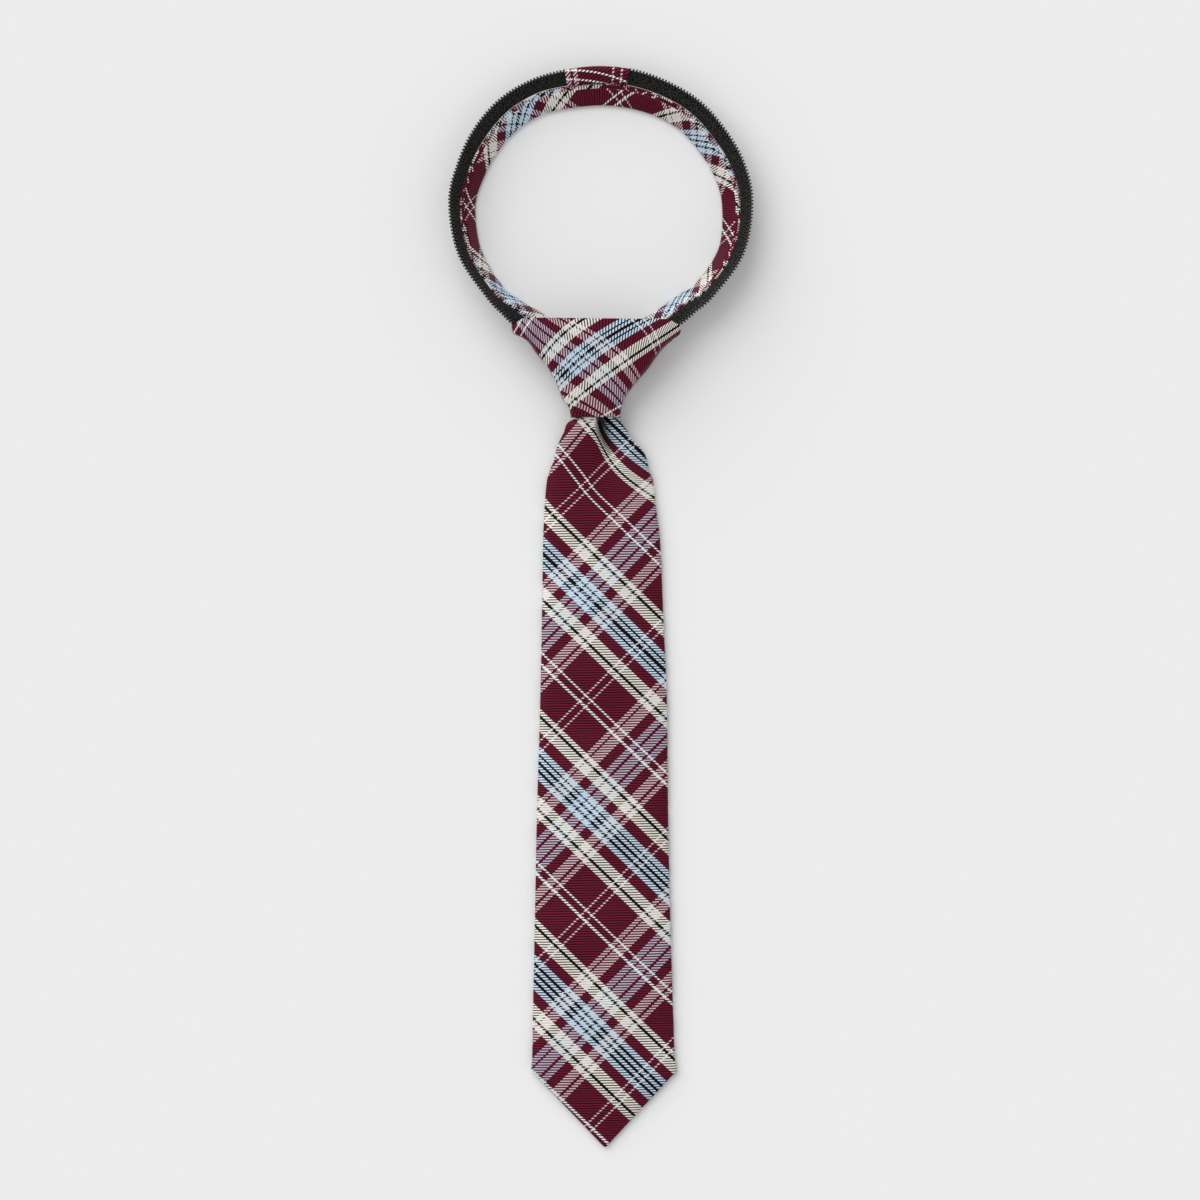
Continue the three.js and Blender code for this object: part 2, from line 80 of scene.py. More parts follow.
# The seam of strap and tape round the neck: turn in degrees from +X about the loop's centre, reach a
# share of the loop's radius, and how far strap and tape lean out of the level
loopRows = {
    "turn": [230, 220, 200, 180, 165, 150, 135, 120, 105, 90, 75, 60, 45, 30, 15, 0, -20, -40, -50],
    "reach": [0.967, 0.989, 1.002, 0.998, 0.962, 0.938, 0.924, 0.900, 0.864, 0.853, 0.858, 0.872, 0.898,
              0.918, 0.957, 0.985, 0.998, 0.967, 0.931],
    "strapLean": [66, 65, 60, 54, 52, 48, 42, 35, 31, 31, 33, 39, 43, 44, 43, 44, 53, 60, 62],
    "tapeLean": [42, 60, 56, 54, 46, 37, 36, 38, 28, 18, 24, 31, 33, 36, 42, 48, 56, 58, 42],
}
hiddenRows = {  # the stretch inside the knot, the same on both sides
    "across": [0.830, 0.640, 0.440, 0.260],
    "up": [1.0, 0.860, 0.700, 0.540],
    "strapLean": [60, 50, 42, 36],
    "tapeLean": [26, 36, 40, 40],
    "show": [0.80, 0.35, 0.25, 0.25],
    "lift": [0.2, 1, 1, 1],
}

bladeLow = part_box("blade")[0]
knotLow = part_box("knot")[0]
tieOrigin = np.array([bladeLow.x / mm + bladeRows["left"][-1] * bladeSize["width"] / 2, knotLow.y / mm, 0])
insideKnot = knotSize["wall"] + bandSize["clearance"]


# A smooth curve through a table's values that doesn't overshoot them
def smoothTable(places, values, at):
    places, values = np.asarray(places, float), np.asarray(values, float)
    step = np.diff(places)
    slope = np.diff(values) / step
    tangent = np.concatenate(([slope[0]], np.zeros(len(slope) - 1), [slope[-1]]))
    same = slope[:-1] * slope[1:] > 0
    inner = tangent[1:-1]
    inner[same] = 2 * (slope[:-1] * slope[1:])[same] / (slope[:-1] + slope[1:])[same]
    index = np.clip(np.searchsorted(places, at, side="right") - 1, 0, len(step) - 1)
    share = np.clip((at - places[index]) / step[index], 0, 1)
    a, b = values[index], values[index + 1]
    ta, tb = tangent[index] * step[index], tangent[index + 1] * step[index]
    return (a + ta * share + (3 * (b - a) - 2 * ta - tb) * share ** 2
            + (2 * (a - b) + ta + tb) * share ** 3)


def smoothStep(value, low, high):
    share = np.clip((value - low) / (high - low), 0, 1)
    return share * share * (3 - 2 * share)


def mixed(a, b, share):
    return a + (b - a) * share


# A closed tube of rings as one smooth mesh. yarns has one column more than points, because the
# pattern doesn't join up where the cloth does.
def gridPiece(name, points, yarns, material, shift=None, capped=True):
    rings, sides = points.shape[:2]
    index = np.arange(rings * sides).reshape(rings, sides)
    a, b = index[:-1], np.roll(index, -1, axis=1)[:-1]
    c, d = np.roll(index, -1, axis=1)[1:], index[1:]
    quads = np.stack([a, b, c, d], axis=-1).reshape(-1, 4)
    corners = np.stack([yarns[:-1, :-1], yarns[:-1, 1:], yarns[1:, 1:], yarns[1:, :-1]], axis=2)
    if shift is not None:
        corners = corners + shift[None, :, None, :]
    corners = corners.reshape(-1, 4, 2)
    flat = points.reshape(-1, 3)
    p, q, r = flat[quads[:, 0]], flat[quads[:, 1]], flat[quads[:, 2]]
    s = flat[quads[:, 3]]
    middle = flat.mean(axis=0)
    volume = (np.einsum("ij,ij->i", p - middle, np.cross(q - middle, r - middle)).sum()
              + np.einsum("ij,ij->i", p - middle, np.cross(r - middle, s - middle)).sum())
    if volume < 0:
        quads, corners = quads[:, ::-1], corners[:, ::-1]
    faces = quads.tolist()
    uvs = [corners.reshape(-1, 2)]
    if capped:
        for ring, outward in ((0, volume > 0), (rings - 1, volume < 0)):
            cap = index[ring][::-1] if outward else index[ring]
            capYarns = yarns[ring, :-1][::-1] if outward else yarns[ring, :-1]
            faces.append(cap.tolist())
            uvs.append(capYarns)
    mesh = bpy.data.meshes.new(name)
    mesh.from_pydata(((flat + tieOrigin) * mm).tolist(), [], faces)
    layer = mesh.uv_layers.new(name="yarns")
    layer.uv.foreach_set("vector", np.concatenate(uvs).astype(np.float32).ravel())
    mesh.shade_smooth()
    mesh.materials.append(material)
    piece = bpy.data.objects.new(name, mesh)
    bpy.context.scene.collection.objects.link(piece)
    return piece


# Camera and studio
shot = {"height": 1.8, "frameWidth": 0.522, "x": -0.00038, "y": 0.00293, "sensor": 36, "clip": (0.05, 20)}
studio = {"floorSize": 6, "floorTone": 0.80, "floorRoughness": 0.95, "floorGloss": 0.1, "floorDrop": 0.0003,
          "sunStrength": 2.05, "sunSpread": 66, "sunHeight": 35, "sunTurn": 126, "skyStrength": 0.68}


def makeStudio():
    camera = bpy.data.objects.new("camera", bpy.data.cameras.new("camera"))
    camera.location = (shot["x"], shot["y"], shot["height"])
    camera.data.sensor_width = shot["sensor"]
    camera.data.lens = shot["sensor"] * shot["height"] / shot["frameWidth"]
    camera.data.clip_start, camera.data.clip_end = shot["clip"]
    bpy.context.scene.collection.objects.link(camera)
    bpy.context.scene.camera = camera
    bpy.context.scene.view_settings.view_transform = "Standard"

    half = studio["floorSize"] / 2
    mesh = bpy.data.meshes.new("floor")
    corners = [(-half, -half, 0), (half, -half, 0), (half, half, 0), (-half, half, 0)]
    mesh.from_pydata(corners, [], [(0, 1, 2, 3)])
    floor = bpy.data.objects.new("floor", mesh)
    floor.location.z = -studio["floorDrop"]
    bpy.context.scene.collection.objects.link(floor)
    paper = bpy.data.materials.new("paper")
    paper.use_nodes = True
    shader = paper.node_tree.nodes["Principled BSDF"]
    tone = studio["floorTone"]
    shader.inputs["Base Color"].default_value = (tone, tone, tone, 1)
    shader.inputs["Roughness"].default_value = studio["floorRoughness"]
    shader.inputs["Specular IOR Level"].default_value = studio["floorGloss"]
    mesh.materials.append(paper)

    sun = bpy.data.objects.new("softLight", bpy.data.lights.new("softLight", "SUN"))
    sun.data.energy = studio["sunStrength"]
    sun.data.angle = math.radians(studio["sunSpread"])
    sun.rotation_euler = (math.radians(90 - studio["sunHeight"]), 0, math.radians(studio["sunTurn"] + 90))
    bpy.context.scene.collection.objects.link(sun)
    world = bpy.data.worlds.new("sky")
    world.use_nodes = True
    world.node_tree.nodes["Background"].inputs["Color"].default_value = (1, 1, 1, 1)
    world.node_tree.nodes["Background"].inputs["Strength"].default_value = studio["skyStrength"]
    bpy.context.scene.world = world


makeStudio()
print("camera and studio stand")

# Materials
cloth = {"warpRepeat": 92.8, "weftRepeat": 93.4, "slope": 0.96,
         "warp": [(0, "dark"), (1.9, "blue"), (7.0, "dark"), (9.8, "blue"), (17.4, "wine"), (32.0, "cream"),
                  (45.4, "dark"), (49.0, "cream"), (55.6, "wine"), (99.4, "white"), (102.0, "wine")],
         "weft": [(0, "blue"), (6.4, "dark"), (9.4, "blue"), (18.0, "dark"), (32.2, "pale"), (45.0, "dark"),
                  (48.3, "pale"), (54.0, "dark"), (99.6, "white"), (102.7, "dark")],
         "half": 107}
dyes = {"wine": (0.175, 0.007, 0.031), "dark": (0.005, 0.003, 0.005), "cream": (0.95, 0.90, 0.80),
        "blue": (0.66, 0.82, 0.97), "white": (0.97, 0.97, 0.98), "pale": (0.88, 0.84, 0.85)}


def addNode(tree, kind, **settings):
    node = tree.nodes.new(kind)
    for key, value in settings.items():
        setattr(node, key, value)
    return node


# Joins an output to a socket, or sets the socket to a plain value
def plug(tree, value, socket):
    if isinstance(value, bpy.types.NodeSocket):
        tree.links.new(value, socket)
    elif value is not None:
        socket.default_value = value


def mathNode(tree, operation, a, b=None, c=None):
    node = addNode(tree, "ShaderNodeMath", operation=operation)
    for value, socket in zip((a, b, c), node.inputs):
        plug(tree, value, socket)
    return node.outputs[0]


def mixColour(tree, share, a, b, blend="MIX"):
    node = addNode(tree, "ShaderNodeMix", data_type="RGBA", blend_type=blend)
    plug(tree, share, node.inputs["Factor"])
    for value, socket in ((a, node.inputs[6]), (b, node.inputs[7])):
        plug(tree, value, socket)
    return node.outputs[2]


# A rounded hump over each whole step of a count
def hump(tree, counted):
    swing = mathNode(tree, "MULTIPLY_ADD", mathNode(tree, "FRACT", counted), 2, -1)
    return mathNode(tree, "SUBTRACT", 1, mathNode(tree, "MULTIPLY", swing, swing))


# Constant stripes of dye from the middle of the blue group to the middle of the wine
def stripeRamp(tree, stripes, place):
    node = addNode(tree, "ShaderNodeValToRGB")
    ramp = node.color_ramp
    ramp.interpolation = "CONSTANT"
    while len(ramp.elements) > 1:
        ramp.elements.remove(ramp.elements[-1])
    for number, (start, dye) in enumerate(stripes):
        stop = ramp.elements[0] if number == 0 else ramp.elements.new(start / cloth["half"])
        stop.position = start / cloth["half"]
        stop.color = (*dyes[dye], 1)
    plug(tree, place, node.inputs["Fac"])
    return node.outputs["Color"]


# How much of the relief is single yarns and how much the ridge, and the painted shade: how light furrow and
# ridge are drawn in the colour
twill = {"yarnShare": 0.3, "ridgeShare": 0.7, "furrowLight": 0.66, "ridgeLight": 0.36}


# Twill: ridges of warp floats, with the weft showing in the furrows between them, and painted shade that
# darkens the furrows
def makePlaidGroup():
    tree = bpy.data.node_groups.new("plaidTwill", "ShaderNodeTree")
    for name, kind in (("Yarns", "NodeSocketVector"), ("Yarn Spacing", "NodeSocketFloat"),
                       ("Ridge Pitch", "NodeSocketFloat"), ("Warp Cover", "NodeSocketFloat"),
                       ("Warp Repeat", "NodeSocketFloat"), ("Weft Repeat", "NodeSocketFloat"),
                       ("Unevenness", "NodeSocketFloat")):
        tree.interface.new_socket(name, in_out="INPUT", socket_type=kind)
    for name, kind in (("Color", "NodeSocketColor"), ("Height", "NodeSocketFloat")):
        tree.interface.new_socket(name, in_out="OUTPUT", socket_type=kind)
    given = addNode(tree, "NodeGroupInput")
    made = addNode(tree, "NodeGroupOutput")
    axes = addNode(tree, "ShaderNodeSeparateXYZ")
    plug(tree, given.outputs["Yarns"], axes.inputs[0])
    spacing = given.outputs["Yarn Spacing"]
    yarns = {}
    for name, axis, stripes, repeat in (("warp", "X", cloth["warp"], "Warp Repeat"),
                                        ("weft", "Y", cloth["weft"], "Weft Repeat")):
        halfRepeat = mathNode(tree, "MULTIPLY", given.outputs[repeat], 0.5)
        counted = mathNode(tree, "DIVIDE", axes.outputs[axis], spacing)
        number = mathNode(tree, "FLOOR", counted)
        middle = mathNode(tree, "MULTIPLY", mathNode(tree, "ADD", number, 0.5), spacing)
        place = mathNode(tree, "DIVIDE", mathNode(tree, "PINGPONG", middle, halfRepeat), halfRepeat)
        noise = addNode(tree, "ShaderNodeTexWhiteNoise", noise_dimensions="1D")
        plug(tree, number, noise.inputs["W"])
        uneven = mathNode(tree, "MULTIPLY", noise.outputs["Value"], given.outputs["Unevenness"])
        shade = mathNode(tree, "SUBTRACT", 1, uneven)
        colour = mixColour(tree, 1, stripeRamp(tree, stripes, place), shade, "MULTIPLY")
        yarns[name] = {"hump": hump(tree, counted), "colour": colour}
    total = mathNode(tree, "ADD", axes.outputs["X"], axes.outputs["Y"])
    ridge = mathNode(tree, "FRACT", mathNode(tree, "DIVIDE", mathNode(tree, "MULTIPLY", total, 0.5),
                                             given.outputs["Ridge Pitch"]))
    cover = given.outputs["Warp Cover"]
    under = mathNode(tree, "GREATER_THAN", ridge, cover)
    overHump = hump(tree, mathNode(tree, "DIVIDE", ridge, cover))
    warpHeight = mathNode(tree, "MULTIPLY_ADD", yarns["warp"]["hump"], twill["yarnShare"],
                          mathNode(tree, "MULTIPLY", overHump, twill["ridgeShare"]))
    height = addNode(tree, "ShaderNodeMix", data_type="FLOAT")
    plug(tree, under, height.inputs["Factor"])
    plug(tree, warpHeight, height.inputs["A"])
    weftHeight = mathNode(tree, "MULTIPLY", yarns["weft"]["hump"], twill["yarnShare"])
    plug(tree, weftHeight, height.inputs["B"])
    colour = mixColour(tree, under, yarns["warp"]["colour"], yarns["weft"]["colour"])
    # Painted shade: the colour is darkened by the relief's height, darkest in the furrows and lightest on the
    # ridges and yarn crowns
    shaded = mathNode(tree, "MULTIPLY_ADD", height.outputs[0], twill["ridgeLight"], twill["furrowLight"])
    plug(tree, mixColour(tree, 1, colour, shaded, "MULTIPLY"), made.inputs["Color"])
    plug(tree, height.outputs[0], made.inputs["Height"])
    return tree


# Painted sheen: the tape's threads are drawn lighter in noise patches, where they would catch the light
paintedTapeSheen = {"scale": 1.3, "contrast": 4.5, "offset": -1.75, "softness": 0.1,
          "dark": (0.0006, 0.0006, 0.0006, 1), "light": (0.085, 0.078, 0.072, 1)}


# Ribbed tape: rows across its width, each row a line of small floats, with painted highlights on the floats
def makeTapeGroup():
    tree = bpy.data.node_groups.new("ribbedTape", "ShaderNodeTree")
    for name, kind in (("Place", "NodeSocketVector"), ("Rib Pitch", "NodeSocketFloat"),
                       ("Float Width", "NodeSocketFloat")):
        tree.interface.new_socket(name, in_out="INPUT", socket_type=kind)
    for name, kind in (("Color", "NodeSocketColor"), ("Height", "NodeSocketFloat")):
        tree.interface.new_socket(name, in_out="OUTPUT", socket_type=kind)
    given = addNode(tree, "NodeGroupInput")
    made = addNode(tree, "NodeGroupOutput")
    axes = addNode(tree, "ShaderNodeSeparateXYZ")
    plug(tree, given.outputs["Place"], axes.inputs[0])
    across = mathNode(tree, "DIVIDE", axes.outputs["X"], given.outputs["Float Width"])
    column = mathNode(tree, "FLOOR", across)
    along = mathNode(tree, "DIVIDE", axes.outputs["Y"], given.outputs["Rib Pitch"])
    staggered = mathNode(tree, "ADD", along, mathNode(tree, "MULTIPLY", column, 0.5))
    height = mathNode(tree, "MULTIPLY", hump(tree, across), hump(tree, staggered))
    shade = addNode(tree, "ShaderNodeTexNoise")
    shade.inputs["Scale"].default_value = paintedTapeSheen["scale"]
    plug(tree, given.outputs["Place"], shade.inputs["Vector"])
    spread = mathNode(tree, "MULTIPLY_ADD", shade.outputs["Fac"], paintedTapeSheen["contrast"], paintedTapeSheen["offset"])
    sheenPatches = mathNode(tree, "SMOOTH_MIN", mathNode(tree, "MAXIMUM", spread, 0), 1, paintedTapeSheen["softness"])
    # painted highlight: lighter on the top of each float, and only in the sheen patches
    lit = mathNode(tree, "MULTIPLY", height, sheenPatches)
    plug(tree, mixColour(tree, lit, paintedTapeSheen["dark"], paintedTapeSheen["light"]), made.inputs["Color"])
    plug(tree, height, made.inputs["Height"])
    return tree


plaidGroup = makePlaidGroup()
tapeGroup = makeTapeGroup()


# A material that reads the piece's yarns map through a weave group
def dressed(name, group, settings, look):
    material = bpy.data.materials.new(name)
    material.use_nodes = True
    tree = material.node_tree
    shader = tree.nodes["Principled BSDF"]
    yarns = addNode(tree, "ShaderNodeUVMap", uv_map="yarns")
    weave = addNode(tree, "ShaderNodeGroup")
    weave.node_tree = group
    plug(tree, yarns.outputs["UV"], weave.inputs[0])
    for key, value in settings.items():
        weave.inputs[key].default_value = value
    # Painted shade: the base colour is darkened by a point attribute that the blade sets deep in its fold
    paintedFoldShade = addNode(tree, "ShaderNodeAttribute", attribute_name="paintedFoldShade")  # near 1 deep in a fold, else 0
    foldShadeFactor = mathNode(tree, "SUBTRACT", 1, paintedFoldShade.outputs["Fac"])
    plug(tree, mixColour(tree, 1, weave.outputs["Color"], foldShadeFactor, "MULTIPLY"), shader.inputs["Base Color"])
    bump = addNode(tree, "ShaderNodeBump")
    bump.inputs["Strength"].default_value = look["bump"]
    bump.inputs["Distance"].default_value = look["relief"] * mm
    plug(tree, weave.outputs["Height"], bump.inputs["Height"])
    plug(tree, bump.outputs["Normal"], shader.inputs["Normal"])
    shader.inputs["Roughness"].default_value = look["roughness"]
    shader.inputs["Metallic"].default_value = look["satin"]
    shader.inputs["Specular IOR Level"].default_value = look["gloss"]
    return material


# Faint speckles on plastic and metal
speckle = {"scale": 900, "gain": 1.5, "lift": 0.004}


def plainMaterial(name, colour, roughness, metallic=0.0):
    material = bpy.data.materials.new(name)
    material.use_nodes = True
    tree = material.node_tree
    shader = tree.nodes["Principled BSDF"]
    place = addNode(tree, "ShaderNodeTexCoord")
    noise = addNode(tree, "ShaderNodeTexNoise")
    noise.inputs["Scale"].default_value = speckle["scale"]
    plug(tree, place.outputs["Object"], noise.inputs["Vector"])
    light = tuple(min(1, speckle["gain"] * part + speckle["lift"]) for part in colour)
    plug(tree, mixColour(tree, noise.outputs["Fac"], (*colour, 1), (*light, 1)), shader.inputs["Base Color"])
    shader.inputs["Roughness"].default_value = roughness
    shader.inputs["Metallic"].default_value = metallic
    return material


plaidSettings = {"Yarn Spacing": 0.54, "Ridge Pitch": 1.1, "Warp Cover": 0.6, "Unevenness": 0.15,
                 "Warp Repeat": cloth["warpRepeat"], "Weft Repeat": cloth["weftRepeat"]}
plaidLook = {"bump": 0.5, "relief": 0.1, "roughness": 0.42, "satin": 0.35, "gloss": 0.12}
plaidCloth = dressed("plaidCloth", plaidGroup, plaidSettings, plaidLook)
tapeCloth = dressed("zipTape", tapeGroup, {"Rib Pitch": 0.9, "Float Width": 0.55},
                    {"bump": 0.9, "relief": 0.3, "roughness": 0.6, "satin": 0, "gloss": 0.06})
coilPlastic = plainMaterial("coilPlastic", (0.003, 0.003, 0.003), 0.3)
sliderMetal = plainMaterial("sliderMetal", (0.16, 0.16, 0.17), 0.4, 0.9)
print("materials made")


# Places across the warp and weft stripes of a strip cut on the bias, v up its length
def stripePlaces(u, v):
    return np.stack([-v - cloth["slope"] * u, u - v], axis=-1)


# Blade
# Among these, the painted shade in the fold: how dark it is, how far it spreads left and right of the fold's
# bottom, and where below the knot it fades out
bladeCloth = {"warpPhase": 9.5, "weftPhase": 24.1, "leftShift": (-0.8, -0.65), "rightShift": (3.5, 4.8),
              "leftGather": 0.16, "fadeFrom": -15, "fadeTo": -42, "leastThick": 0.12,
              "paintedFoldShade": 0.96, "foldShadeLeft": 1.3, "foldShadeRight": 2.3, "foldShadeEnd": (9, 19),
              "seamWidth": 1.2, "seamHeight": 0.7, "roomEdge": (0.3, 1.8), "turnOver": (-1.6, 1.2)}
# The blade's section: shares of its thickness, and the powers that square off top, underside and crown.
# fineShare is the part of the length below the knot that has finer rows.
bladeSection = {"edge": 0.36, "shoulder": 0.34, "crown": 0.3, "topPower": 14, "topRoot": 2.4,
                "underPower": 40, "crownPower": 8, "pointThinning": 0.45, "fineShare": 0.18, "neckRows": 12}
# The fold that the knot presses into the blade: how far down, where its bottom runs, how deep it is
# and how wide its left and right sides are
fold = {"down": [0, 3, 7, 12, 16, 22, 30, 42], "bottom": [-0.4, -0.2, 0.5, 2.5, 3.9, 5.2, 6, 7],
        "depth": [5.4, 5.4, 5.0, 4.3, 3.4, 2.1, 0.9, 0], "left": [1.5, 1.6, 2.1, 3.4, 5, 7.5, 11, 14],
        "right": [3.6, 4, 4.6, 5.4, 6.4, 8, 10, 12]}
swell = {"height": 0.34, "long": 61, "longSlant": 150, "short": 37, "shortSlant": 90, "shortShare": 0.6,
         "shortTurn": 1.3, "from": (30, 70)}
bodyLength = bladeSize["length"] - bladeSize["pointHeight"]
neckBase = insideKnot + tailSize["thickness"] + bandSize["clearance"]
neckTop = knotRows["deep"][-1] * knotSize["depth"] - insideKnot
halfKnot = knotSize["width"] / 2
neckLeft = knotSize["offset"] - knotRows["left"][-1] * halfKnot + insideKnot
neckRight = knotSize["offset"] + knotRows["right"][-1] * halfKnot - insideKnot


def foldValue(column, y):
    return smoothTable(fold["down"], fold[column], np.clip(-y, 0, fold["down"][-1]))


def foldAt(x, y):
    beside = x - foldValue("bottom", y)
    width = np.where(beside < 0, foldValue("left", y), foldValue("right", y))
    return foldValue("depth", y) * np.exp(-(beside / width) ** 2)


# The filling lies a little unevenly, in a long wave and a short one
def swellAt(x, y):
    longWave = np.sin(2 * math.pi * (y / swell["long"] + x / swell["longSlant"]))
    shortWave = np.sin(2 * math.pi * (y / swell["short"] - x / swell["shortSlant"]) + swell["shortTurn"])
    wave = longWave + swell["shortShare"] * shortWave
    return swell["height"] * wave * smoothStep(-y, *swell["from"])


def makeBlade():
    rows, columns = bladeSize["rows"], bladeSize["columns"]
    neckEnd = -bandSize["clearance"]
    fineEnd = -bladeSection["fineShare"] * bodyLength
    ys = np.concatenate([
        np.linspace(bladeSize["neckInKnot"], neckEnd, bladeSection["neckRows"], endpoint=False),
        np.linspace(neckEnd, fineEnd, rows // 2, endpoint=False),
        np.linspace(fineEnd, -bodyLength, rows // 2, endpoint=False),
        np.linspace(-bodyLength, -bladeSize["length"], rows // 8)])
    down = -ys / bodyLength
    half = bladeSize["width"] / 2
    neckShare = bandSize["clearance"] / bodyLength
    places = np.concatenate([[neckShare], bladeRows["down"]])
    left = smoothTable(places, np.concatenate([[neckLeft], -half * np.array(bladeRows["left"])]), down)
    right = smoothTable(places, np.concatenate([[neckRight], half * np.array(bladeRows["right"])]), down)
    thick = smoothTable(places, np.concatenate([[neckTop - neckBase],
                                                bladeSize["thickness"] * np.array(bladeRows["thick"])]), down)
    rise = smoothTable(places, np.concatenate([[1], bladeRows["rise"]]), down)
    pointShare = np.clip((-ys - bodyLength) / bladeSize["pointHeight"], 0, 1)
    left = mixed(left, bladeSize["pointDrift"] - bladeSize["tipWidth"] / 2, pointShare)
    right = mixed(right, bladeSize["pointDrift"] + bladeSize["tipWidth"] / 2, pointShare)
    thick = thick * (1 - bladeSection["pointThinning"] * pointShare)
    turn = np.linspace(0.5, -0.5, columns + 1)
    across = np.sin(math.pi * turn)
    shoulder = (1 - np.abs(across) ** bladeSection["topPower"]) ** (1 / bladeSection["topRoot"])
    flatTop = (bladeSection["edge"] + bladeSection["shoulder"] * shoulder
               + bladeSection["crown"] * (1 - across ** 2))
    flatUnder = bladeSection["edge"] * (1 - np.sqrt(1 - np.abs(across) ** bladeSection["underPower"]))
    oval = 0.5 * np.sqrt(1 - across ** 2)
    top = mixed(flatTop, 0.5 + oval, rise[:, None])
    under = mixed(flatUnder, 0.5 - oval, rise[:, None])
    middle = (left + right) / 2
    xs = np.where(across < 0, mixed(middle[:, None], left[:, None], -across),
                  mixed(middle[:, None], right[:, None], across))
    base = (rise * neckBase)[:, None]
    zTop = base + thick[:, None] * top
    yGrid = np.broadcast_to(ys[:, None], xs.shape)
    crown = 1 - np.abs(across) ** bladeSection["crownPower"]
    pressed = zTop + (swellAt(xs, yGrid) - foldAt(xs, yGrid)) * crown * (yGrid < 0)
    zTop = np.maximum(pressed, base + bladeCloth["leastThick"] * thick[:, None])
    zUnder = base + thick[:, None] * under
    # at the back: the seam where the folded edges meet, and room for the closed zip
    seam = bladeCloth["seamHeight"] * np.exp(-(xs / bladeCloth["seamWidth"]) ** 2)
    zUnder = zUnder + seam * ((yGrid < -tailSize["length"]) & (yGrid > -bodyLength))
    besideTail = np.abs(xs - knotSize["offset"]) - tailSize["width"] / 2
    tailSpace = tailSize["thickness"] + bandSize["clearance"]
    room = tailSpace * (1 - smoothStep(besideTail, *bladeCloth["roomEdge"]))
    zUnder = np.where(yGrid > -tailSize["length"] - 1, np.maximum(zUnder, room), zUnder)
    topPoints = np.stack([xs, yGrid, zTop], axis=-1)
    underPoints = np.stack([xs, yGrid, zUnder], axis=-1)[:, ::-1][:, 1:-1]
    points = np.concatenate([topPoints, underPoints], axis=1)
    widths = (right - left)[:, None]
    u = np.concatenate([xs, xs[:, :1] * 0 + 2 * left[:, None] - xs[:, ::-1][:, 1:-1],
                        2 * left[:, None] - xs[:, :1]], axis=1)
    v = np.broadcast_to(ys[:, None], u.shape)
    fade = 1 - smoothStep(-v, -bladeCloth["fadeFrom"], -bladeCloth["fadeTo"])
    beside = u - foldValue("bottom", v)
    share = smoothStep(beside / foldValue("left", v), *bladeCloth["turnOver"])
    gathered = bladeCloth["leftShift"][0] + bladeCloth["leftGather"] * np.clip(u, left[:, None], 0)
    u = u + fade * mixed(gathered, bladeCloth["rightShift"][0], share)
    v = v + fade * mixed(bladeCloth["leftShift"][1], bladeCloth["rightShift"][1], share)
    yarns = stripePlaces(u, v) + np.array([bladeCloth["warpPhase"], bladeCloth["weftPhase"]])
    blade = gridPiece("blade_cloth", points, yarns, plaidCloth)
    # Painted shade in the fold the knot presses into the blade: a point attribute, near 1 along the fold's
    # bottom, that darkens the cloth's colour and fades out further down
    beside = topPoints[..., 0] - foldValue("bottom", topPoints[..., 1])
    spread = np.where(beside < 0, bladeCloth["foldShadeLeft"], bladeCloth["foldShadeRight"])
    paintedFoldShade = bladeCloth["paintedFoldShade"] * np.exp(-(beside / spread) ** 2)
    paintedFoldShade = paintedFoldShade * (1 - smoothStep(-topPoints[..., 1], *bladeCloth["foldShadeEnd"]))
    paintedFoldShade = np.concatenate([paintedFoldShade, np.zeros(underPoints.shape[:2])], axis=1)
    layer = blade.data.attributes.new("paintedFoldShade", "FLOAT", "POINT")
    layer.data.foreach_set("value", paintedFoldShade.astype(np.float32).ravel())
    return blade


# Knot

# Where stripes cross the front of the knot: a stripe's place in the sett, and the points that it passes
knotStripes = {
    "warp": {-20.5: [(-25.2, 25.3), (-22.5, 29), (-19, 32.4), (-14.3, 37), (-10, 40.2)],
             0: [(-16.7, 17.7), (-12.5, 22), (-8.3, 26), (-5.3, 28.3), (5.8, 35.6), (10.5, 38.4)],
             20.5: [(-10.7, 7.8), (-7.9, 11.1), (-3.4, 14.1), (1.3, 17.7), (6, 20.5), (12.2, 24.8),
                    (17.2, 28.4), (21.4, 31.7), (25.5, 34.8), (31.1, 37.3)],
             43.8: [(0.7, 0.5), (4, 1.9), (7.7, 4.7)],
             -43.8: [(-33.2, 37.5), (-30.8, 41)]},
    "weft": {-20.3: [(-9, 7.2), (-5.1, 4.1), (-1.8, 1.7)],
             -10.9: [(-21, 22.3), (-11.3, 15.5), (-3.2, 10.8), (1, 8), (5.1, 4.7)],
             0: [(-26.5, 35.1), (-19.3, 29.8), (-15.9, 27.4), (-5.1, 20.1)],
             10.9: [(-10.7, 32.5), (1.1, 24.8), (7.9, 18.8), (10.1, 16.1), (11.8, 13.3)],
             20.3: [(8, 25.2), (12.7, 21.8), (14.4, 18.4), (15, 15.9)],
             46.5: [(17.6, 39.5), (20.7, 35.7), (22.8, 32.2), (24.2, 28.9)]},
}
knotCloth = {"rings": 90, "sides": 168, "bend": 3, "wrap": 1.0, "frontFrom": 0.12, "frontTo": 0.88}
# The knot's section: the powers that square off its front and back, where the rim drops towards the
# back, and how its top edge sags from left to right and at the corners
knotSection = {"frontAcross": 0.35, "frontBulge": 0.45, "backAcross": 0.8, "backBulge": 0.8,
               "backFlat": 1.25, "rim": (0.7, 0.84), "sagMiddle": 0.55, "sagTilt": 0.45,
               "cornerFrom": 0.8, "sagTo": 0.3}


def bendTerms(x, y):
    power = knotCloth["bend"]
    return np.stack([x ** i * y ** j for i in range(power + 1) for j in range(power + 1 - i)], axis=-1)


# The smooth bend that carries a family of stripes through its charted points
def bentStripes(chart):
    points = np.array([point for places in chart.values() for point in places])
    stripes = np.array([stripe for stripe, places in chart.items() for _ in places])
    terms = bendTerms(points[:, 0], points[:, 1])
    return np.linalg.lstsq(terms, stripes, rcond=None)[0]


